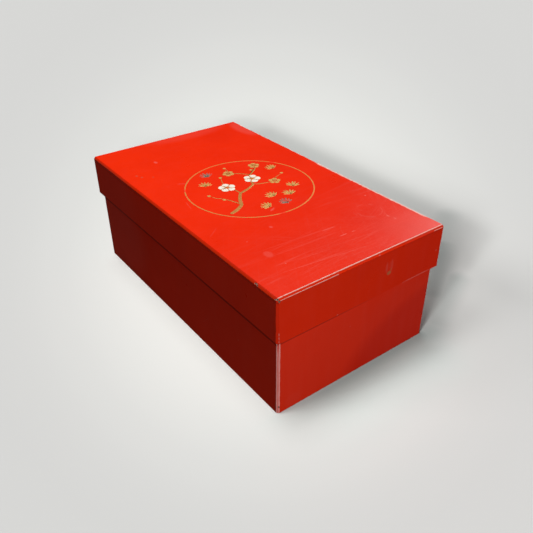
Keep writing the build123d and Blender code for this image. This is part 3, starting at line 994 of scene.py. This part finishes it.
def flat_shape(name, sides, length, width):
    """A flat oval that lies on the lid with one end at the origin, ready to be shaped in edit mode."""
    bpy.ops.object.select_all(action="DESELECT")
    bpy.ops.mesh.primitive_circle_add(
        vertices=sides, radius=length / 2 * MM, fill_type="NGON", location=(length / 2 * MM, 0, 0))
    piece = bpy.context.object
    piece.name = name
    set_in_place()
    edit_all()
    bpy.ops.transform.resize(value=(1, width / length, 1))
    return piece


def pull_end(piece, low, high, move, stretch):
    """Moves the vertices between two places along X, in mm, and stretches them across."""
    bpy.ops.mesh.select_mode(type="VERT")
    bpy.ops.mesh.select_all(action="DESELECT")
    bpy.ops.object.mode_set(mode="OBJECT")
    for vertex in piece.data.vertices:
        vertex.select = low < vertex.co.x / MM < high
    bpy.ops.object.mode_set(mode="EDIT")
    bpy.ops.transform.resize(value=(1, stretch, 1))
    bpy.ops.transform.translate(value=(move * MM, 0, 0))


def raise_crown(height, steps):
    """Gives the flat shape its thickness and steps it up to a crown."""
    bpy.ops.mesh.select_mode(type="FACE")
    bpy.ops.mesh.select_all(action="SELECT")
    bpy.ops.mesh.extrude_region_move(TRANSFORM_OT_translate={"value": (0, 0, height * MM)})
    for width, rise in steps:
        step_in(width, rise)
    bpy.ops.mesh.select_all(action="SELECT")
    bpy.ops.mesh.normals_make_consistent(inside=False)
    bpy.ops.object.mode_set(mode="OBJECT")


def modelled(name):
    """A needle, knot or stamen along +X: drawn out from an oval and raised to its crown."""
    sides, length, width, pulls, height, crown = PATTERNS[name]
    piece = flat_shape(name, sides, length, width)
    for pull in pulls:
        pull_end(piece, *pull)
    raise_crown(height, crown)
    return piece


def laid_out(pattern, name, places, material):
    """Copies a pattern to its places, turned and stretched, and joins them into one piece on the lid."""
    copies = []
    for (x, y, z), turn, stretch in places:
        copy = bpy.data.objects.new(name, pattern.data.copy())
        bpy.context.scene.collection.objects.link(copy)
        copy.location = (x * MM, y * MM, z * MM)
        copy.rotation_euler = (0, 0, math.radians(turn))
        copy.scale = stretch
        copies.append(copy)
    only(copies[0])
    for copy in copies:
        copy.select_set(True)
    set_in_place()
    bpy.ops.object.join()
    piece = bpy.context.object
    lay_finish(piece, material)
    smooth_over(piece)
    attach(piece, "lid")
    return piece


def heading_way(degrees):
    """The way on the lid that a heading points."""
    return Vector((math.cos(math.radians(degrees)), math.sin(math.radians(degrees))))


def needle_places(fans, draw):
    """Where each needle of the fans lies, the fans behind others lower than the ones in front."""
    places = []
    for order, ((x, y), heading) in enumerate(fans):
        lower = 1.0 - FAN_STEP * order
        for index in range(NEEDLES):
            share = index / (NEEDLES - 1) - 0.5
            turn = heading + share * NEEDLE_SPREAD + draw.uniform(-NEEDLE_WANDER, NEEDLE_WANDER)
            reach = (1 - share * share) * draw.uniform(0.90, 1.0)
            places.append(((x, y, LID_TOP.z), turn, (reach, draw.uniform(0.85, 1.0), lower)))
    return places


def knot_places(fans):
    """Where the fans' knots lie, each turned away from its needles."""
    places = []
    for (x, y), heading in fans:
        back = heading_way(heading) * KNOT_BACK
        places.append(((x + back.x, y + back.y, LID_TOP.z), heading + 180, (1, 1, 1)))
    return places


def stamen_places(blossoms, size):
    """Where the stamens of the blossoms stand, in a ring about each heart."""
    places = []
    for (x, y), turn in blossoms:
        for index in range(STAMENS):
            angle = turn + (index + 0.5) * 360 / STAMENS
            out = heading_way(angle) * STAMEN_RING
            stretch = size * (1.0 if index % 2 else SHORT_STAMEN)
            places.append(((x + out.x, y + out.y, LID_TOP.z + STAMEN_LIFT), angle, (stretch, size, 1)))
    return places


class LACQUERBOX_OT_shared(bpy.types.Operator):
    """Make the node groups and the bare ground that several pieces share"""

    bl_idname = "lacquerbox.shared"
    bl_label = "Shared Finishes"

    def execute(self, context):
        make_groups()
        make_bare_ground()
        return {"FINISHED"}


class LACQUERBOX_OT_lid(bpy.types.Operator):
    """Lacquer the lid's boards and cut their knocks"""

    bl_idname = "lacquerbox.lid"
    bl_label = "Lid Boards"

    def execute(self, context):
        shell = {"half_length": LID_TOP.x, "half_width": LID_TOP.y, "top": LID_TOP.z,
                 "inside": LID_INSIDE, "level": LID_CEILING, "upward": False}
        marks = {"rubs_and_glints": LID_RUBS_AND_GLINTS, "scratches": LID_SCRATCHES, "smudges_and_sheens": LID_SMUDGES_AND_SHEENS, "rim": LID_RIM_SHADE,
                 "ring_marks": LID_RING_MARKS, "dabs": LID_DABS, "bruised": LID_BRUISED}
        lacquer = make_lacquer("lid_lacquer", shell, marks)
        for node in LID_BOARDS:
            finish_node(node, lacquer)
        knocked_board("lid_top_board", lacquer, "lid", smooth=TOP_SMOOTH)
        knocked_board("lid_right_wall", lacquer, "lid")
        return {"FINISHED"}


class LACQUERBOX_OT_base(bpy.types.Operator):
    """Lacquer the base's boards and cut their knocks"""

    bl_idname = "lacquerbox.base"
    bl_label = "Base Boards"

    def execute(self, context):
        shell = {"half_length": BASE_OUTSIDE.x, "half_width": BASE_DEPTH, "top": BASE_OUTSIDE.z,
                 "inside": BASE_INSIDE, "level": BASE_FLOOR, "upward": True}
        marks = {"rubs_and_glints": BASE_RUBS_AND_GLINTS, "scratches": BASE_SCRATCHES, "smudges_and_sheens": BASE_SMUDGES_AND_SHEENS,
                 "rim": BASE_RIM_SHADE, "deep_tone_and_shade": BASE_END_SHADE}
        lacquer = make_lacquer("base_lacquer", shell, marks)
        for node in BASE_BOARDS:
            finish_node(node, lacquer)
        for node in ("base_front_wall", "base_back_wall"):
            knocked_board(node, lacquer, "base")
        return {"FINISHED"}


class LACQUERBOX_OT_pegs(bpy.types.Operator):
    """Finish the wooden pegs that are hidden in the joints"""

    bl_idname = "lacquerbox.pegs"
    bl_label = "Wooden Pegs"

    def execute(self, context):
        wood = make_peg_wood()
        for node in ("lid_top_pegs", "base_bottom_pegs"):
            finish_node(node, wood)
        return {"FINISHED"}


class LACQUERBOX_OT_ornament(bpy.types.Operator):
    """Round off and gild the raised ornament on the lid"""

    bl_idname = "lacquerbox.ornament"
    bl_label = "Raised Ornament"

    def execute(self, context):
        look = context.scene.ornament
        gold = make_powder("gold_powder", look.gold, look.pale_gold, 0.18, 0.35)
        ring_gold = make_powder("ring_gold", look.gold, look.gold, 0.20, 0.30, ring_bare)
        old_gold = make_powder("old_gold", look.old_gold, look.gold, 0.22, 0.35)
        silver = make_powder("worn_silver", look.silver, BRIGHT_SILVER, 0.34, 0.2)
        white = make_white()
        line = look.outline / MM
        finish_node("gilt_ring", ring_gold)
        raised_work("plum_branch", "bark", 0.05, [(0.22, 0.05, 0)], [old_gold])
        raised_work("white_petals", "shell_petals", 0, [(line, -0.05, 1), (0.7, 0.03, 1)], [gold, white])
        raised_work("gilt_petals", "gold_petals", 0, [(line * 0.8, -0.05, 1), (0.5, 0.03, 1)],
                    [old_gold, gold])
        raised_work("blossom_hearts", "hearts", 0.06, [(0.3, 0.04, 0), (0.35, 0.02, 0)], [old_gold])

        draw = random.Random(NEEDLE_SEED)
        needle, knot, stamen = [modelled(name) for name in PATTERNS]
        for fans, name, finish, knot_finish, slot, node in (
                (GOLD_FANS, "gold_needles", gold, old_gold, "gold_powder", "pine_fans"),
                (WORN_FANS, "silver_needles", silver, silver, "worn_silver", "worn_pine_fans")):
            needles = laid_out(needle, name, needle_places(fans, draw), finish)
            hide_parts(node)
            laid_out(knot, name + "_knots", knot_places(fans), knot_finish)
        laid_out(stamen, "white_blossom_stamens", stamen_places(WHITE_BLOSSOMS, 1.0), gold)
        laid_out(stamen, "gilt_blossom_stamens", stamen_places(GILT_BLOSSOMS, SMALL_BLOSSOM), old_gold)
        for pattern in (needle, knot, stamen):
            bpy.data.objects.remove(pattern)
        return {"FINISHED"}


def lamp_way(heading, height):
    """The way towards a lamp, from its turn round the box and its height above the horizon in degrees."""
    turn = math.radians(heading)
    rise = math.radians(height)
    return Vector((math.cos(turn) * math.cos(rise), math.sin(turn) * math.cos(rise), math.sin(rise)))


def add_light(kind, name, place, way, receivers, **settings):
    """A light that shines back along its way, on its receivers alone."""
    bpy.ops.object.light_add(type=kind, location=place, rotation=way.to_track_quat("Z", "Y").to_euler())
    light = bpy.context.object
    light.name = name
    light.visible_camera = False
    light.light_linking.receiver_collection = receivers
    for key, value in settings.items():
        setattr(light.data, key, value)
    return light.data


def add_floor_lamp(name, place, radius, light, receivers):
    """A small round lamp whose light stays even with distance, for the floor's shade all round the box."""
    watts = light * 4 * math.pi * Vector(place).length / place[2]
    lamp = add_light("POINT", name, place, Vector(place), receivers, shadow_soft_size=radius, energy=watts,
                     use_nodes=True)
    lamp.node_tree.nodes.clear()
    wire = Wiring(lamp.node_tree)
    even = wire.node("ShaderNodeLightFalloff", {"Strength": 1.0}).outputs["Constant"]
    wire.end_in("ShaderNodeOutputLight", wire.node("ShaderNodeEmission", {"Strength": even}))


def contact_shade(wire):
    """Shade beside the end that faces away from the light, and the reach of the red glow there."""
    x, y = wire.xyz(wire.position)[:2]
    out_x = wire.most(wire.minus(wire.unsigned(x), BASE_OUTSIDE.x))
    out_y = wire.most(wire.minus(wire.unsigned(y), BASE_DEPTH))
    away = wire.reach(out_x, out_y)
    foot, corner, glow = (
        wire.times(wire.rise(x, *across), wire.rise(away, 0.0, reach, 1.0, 0.0),
                   *[wire.rise(y, *run) for run in runs])
        for across, runs, reach in (FOOT_SHADE, CORNER_SHADE, END_GLOW))
    foot = wire.times(foot, bpy.context.scene.stage.contact)
    bands = [wire.rise(wire.from_line(wire.position, start, end)[0], 0.0, reach, depth, 0.0)
             for start, end, reach, depth in FAR_SHADES]
    return wire.most(wire.plus(foot, corner), *bands), glow


def make_floor_finish():
    """Pale floor with a painted pool of light and painted shade beside the box: full to the camera, a share
    of it in reflections, and less as bounce.
    """
    stage = bpy.context.scene.stage
    wire = Finish("pale_floor")
    # Painted pool of light: paler inside a cone from a fixed point above the floor
    away = wire.vector("NORMALIZE", wire.vector("SUBTRACT", wire.place, tuple(stage.pool_apex)))
    inward = wire.vector("DOT_PRODUCT", away, tuple(stage.pool_axis))
    outward = wire.math("SQRT", wire.minus(wire.over(1.0, wire.times(inward, inward)), 1.0))
    pale = wire.colour(wire.ramp(outward, POOL_FADE), stage.floor, stage.floor_edge)
    shade, glow = contact_shade(wire)
    # Painted tint against the red bounce light beside the end, then the painted shade
    pale = wire.colour(glow, pale, GLOW_TINT, "MULTIPLY")
    pale = wire.colour(shade, pale, CONTACT_COLOUR)
    falls = sum(share for heading, height, spread, share in FLOOR_SUNS.values())
    for place, radius, share in FLOOR_LAMPS.values():
        near = wire.over(Vector(place).length, wire.vector("DISTANCE", wire.place, place))
        falls = wire.plus(falls, wire.times(near, share))
    pale = wire.scaled(pale, wire.over(1.0, falls))
    path = wire.node("ShaderNodeLightPath").outputs
    mirrored = wire.times(wire.most(path["Is Glossy Ray"], path["Is Transmission Ray"]), stage.mirrored)
    bounced = wire.times(path["Is Diffuse Ray"], stage.bounce)
    shown = wire.most(path["Is Camera Ray"], mirrored, bounced)
    grain = wire.noise(wire.place, FLOOR_GRAIN, 3.0)
    wire.show(wire.colour(shown, (0, 0, 0), pale), wire.rise(grain, 0.3, 0.7, 0.8, 0.95))
    wire.shader["Specular IOR Level"].default_value = 0.0
    return wire.material


def make_backdrop():
    """A pale room that shows to the camera and gives next to no light."""
    world = bpy.data.worlds.new("pale_room")
    bpy.context.scene.world = world
    world.use_nodes = True
    world.node_tree.nodes.clear()
    wire = Wiring(world.node_tree)
    shown = wire.rise(wire.node("ShaderNodeLightPath").outputs["Is Camera Ray"], 0.0, 1.0, ROOM_LIGHT, 1.0)
    room = wire.node("ShaderNodeBackground", {"Color": ROOM_COLOUR, "Strength": shown})
    wire.end_in("ShaderNodeOutputWorld", room)


def add_camera(stage):
    """The camera at the picture's angle, aimed a little beside the middle of the box."""
    back = Vector((math.sin(stage.azimuth) * math.cos(stage.elevation),
                   -math.cos(stage.azimuth) * math.cos(stage.elevation), math.sin(stage.elevation)))
    level = Vector((math.cos(stage.azimuth), math.sin(stage.azimuth), 0))
    upward = back.cross(level)
    right = level * math.cos(stage.roll) + upward * math.sin(stage.roll)
    up = upward * math.cos(stage.roll) - level * math.sin(stage.roll)
    middle = Vector((0, 0, LID_TOP.z * MM / 2))
    bpy.ops.object.camera_add()
    camera = bpy.context.object
    turned = Matrix((right, up, back)).transposed().to_4x4()
    turned.translation = middle + right * stage.aside + up * stage.above + back * stage.distance
    camera.matrix_world = turned
    camera.data.sensor_width = SENSOR_WIDTH
    camera.data.lens = stage.focal_length
    camera.data.clip_start = CLIP_START
    bpy.context.scene.camera = camera
    bpy.context.scene.view_settings.view_transform = "Standard"


class LACQUERBOX_OT_stage(bpy.types.Operator):
    """Set up the floor, the backdrop, the lamps and the camera"""

    bl_idname = "lacquerbox.stage"
    bl_label = "Studio Stage"

    def execute(self, context):
        stage = context.scene.stage
        bpy.ops.object.select_all(action="DESELECT")
        bpy.ops.mesh.primitive_circle_add(vertices=FLOOR_SIDES, radius=FLOOR_RADIUS, fill_type="NGON")
        floor = context.object
        floor.name = "floor"
        lay_finish(floor, make_floor_finish())
        floor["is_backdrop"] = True
        floor_only = bpy.data.collections.new("floor_only")
        floor_only.objects.link(floor)
        box_only = bpy.data.collections.new("box_only")
        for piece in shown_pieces():
            box_only.objects.link(piece)

        make_backdrop()
        for name, (heading, height, away, target, size, watts) in BOX_LAMPS.items():
            way = lamp_way(heading, height)
            place = Vector(target) + way * away
            add_light("AREA", name, place, way, box_only, shape="DISK", size=size, energy=watts)
        for name, (heading, height, spread, share) in FLOOR_SUNS.items():
            way = lamp_way(heading, height)
            strength = share * stage.floor_light / math.sin(math.radians(height))
            add_light("SUN", name, way, way, floor_only, angle=math.radians(spread), energy=strength)
        for name, (place, radius, share) in FLOOR_LAMPS.items():
            add_floor_lamp(name, place, radius, share * stage.floor_light, floor_only)
        add_camera(stage)
        return {"FINISHED"}


class LACQUERBOX_PT_panel(bpy.types.Panel):
    """Steps that dress the box"""

    bl_label = "Lacquer Box"
    bl_idname = "LACQUERBOX_PT_panel"
    bl_space_type = "VIEW_3D"
    bl_region_type = "UI"
    bl_category = "Lacquer Box"

    def draw(self, context):
        for operator in OPERATORS:
            self.layout.operator(operator.bl_idname)
        for name in SETTINGS:
            group = getattr(context.scene, name)
            for key in group.__annotations__:
                self.layout.prop(group, key)


SETTINGS = {"lacquer": LacquerSettings, "ornament": OrnamentSettings, "stage": StageSettings}
OPERATORS = (LACQUERBOX_OT_shared, LACQUERBOX_OT_lid, LACQUERBOX_OT_base, LACQUERBOX_OT_pegs,
             LACQUERBOX_OT_ornament, LACQUERBOX_OT_stage)


def register():
    for kind in (*SETTINGS.values(), *OPERATORS, LACQUERBOX_PT_panel):
        bpy.utils.register_class(kind)
    for name, kind in SETTINGS.items():
        setattr(bpy.types.Scene, name, bpy.props.PointerProperty(type=kind))


def unregister():
    for name in SETTINGS:
        delattr(bpy.types.Scene, name)
    for kind in (LACQUERBOX_PT_panel, *OPERATORS, *SETTINGS.values()):
        bpy.utils.unregister_class(kind)


def main():
    register()
    bpy.ops.lacquerbox.shared()
    bpy.ops.lacquerbox.lid()
    bpy.ops.lacquerbox.base()
    bpy.ops.lacquerbox.pegs()
    bpy.ops.lacquerbox.ornament()
    bpy.ops.lacquerbox.stage()
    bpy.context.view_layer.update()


if __name__ == "__main__":
    main()
